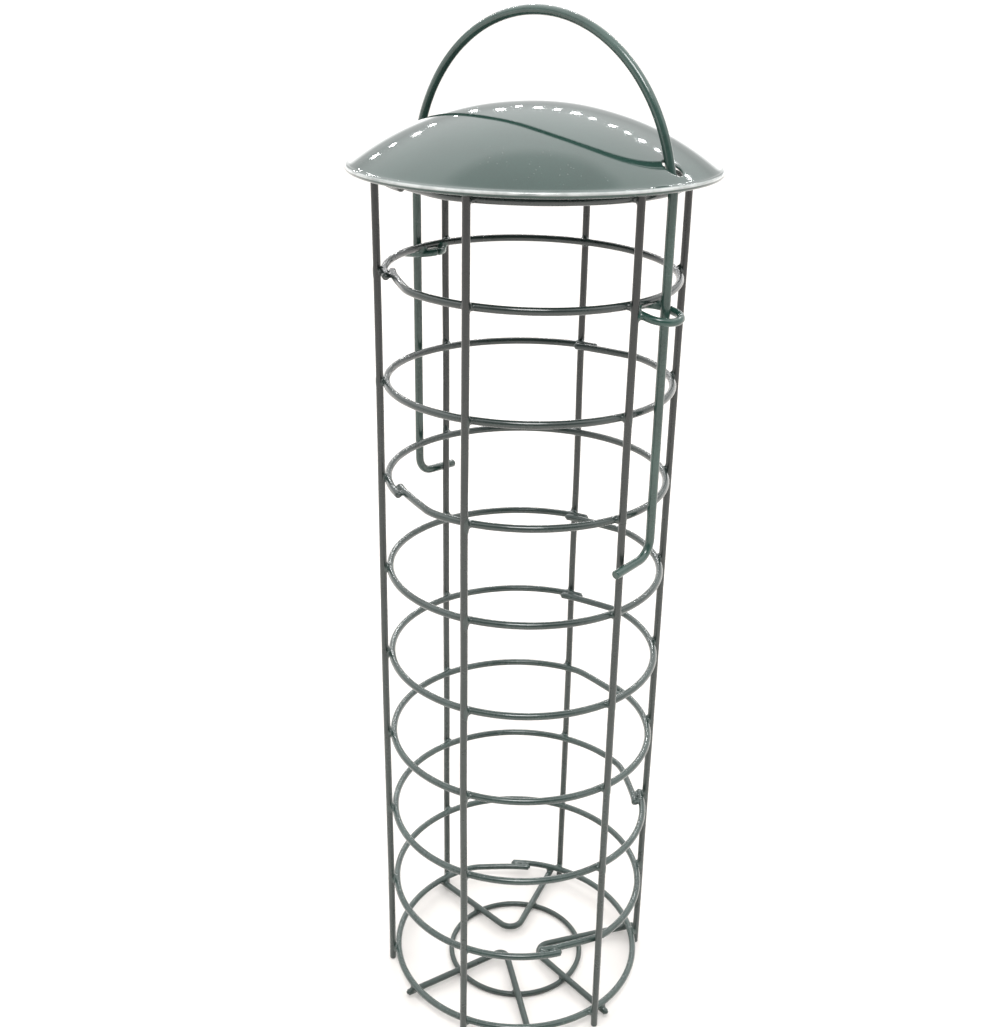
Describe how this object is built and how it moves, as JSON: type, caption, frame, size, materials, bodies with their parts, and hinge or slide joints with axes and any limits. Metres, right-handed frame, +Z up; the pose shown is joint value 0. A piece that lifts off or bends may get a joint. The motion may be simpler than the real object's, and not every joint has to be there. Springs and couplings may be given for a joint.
{
  "type": "hanging bird feeder",
  "caption": "Round welded wire cage feeder for fat balls, with a domed metal lid and a tall wire handle that slides through guide eyes and the lid.",
  "frame": {"origin": "on the cage's axis, on the plane that the uprights' ends stand on", "axes": "+Z up along the cage's axis, +X towards the right-hand upright, -Y towards the viewer"},
  "size_m": [0.1044, 0.1044, 0.3172],
  "materials": {
    "lid_enamel": "gloss enamel on pressed sheet",
    "handle_coating": "satin powder coat on steel wire",
    "upright_coating": "satin powder coat on steel wire",
    "hoop_coating": "satin powder coat on steel wire",
    "base_coating": "satin powder coat on steel wire",
    "eye_coating": "satin powder coat on steel wire"
  },
  "bodies": {
    "cage": {"upright_right": "upright_coating", "upright_back_right": "upright_coating", "upright_back_left": "upright_coating", "upright_left": "upright_coating", "upright_front_left": "upright_coating", "upright_front_right": "upright_coating", "hoop_01": "hoop_coating", "hoop_02": "hoop_coating", "hoop_03": "hoop_coating", "hoop_04": "hoop_coating", "hoop_05": "hoop_coating", "hoop_06": "hoop_coating", "hoop_07": "hoop_coating", "hoop_08": "hoop_coating", "hoop_09": "hoop_coating", "hoop_10": "hoop_coating", "base_spoke_back": "base_coating", "base_spoke_right": "base_coating", "base_spoke_left": "base_coating", "base_ring": "base_coating", "guide_eye_right": "eye_coating", "guide_eye_left": "eye_coating"},
    "lid": {"lid": "lid_enamel"},
    "handle": {"handle": "handle_coating"}
  },
  "joints": [
    {"name": "lid_lift", "type": "slide", "parent": "cage", "child": "lid", "axis": [0, 0, 1], "range_m": [0, 0.033]},
    {"name": "handle_lift", "type": "slide", "parent": "lid", "child": "handle", "axis": [0, 0, 1], "range_m": [0, 0.033]}
  ]
}
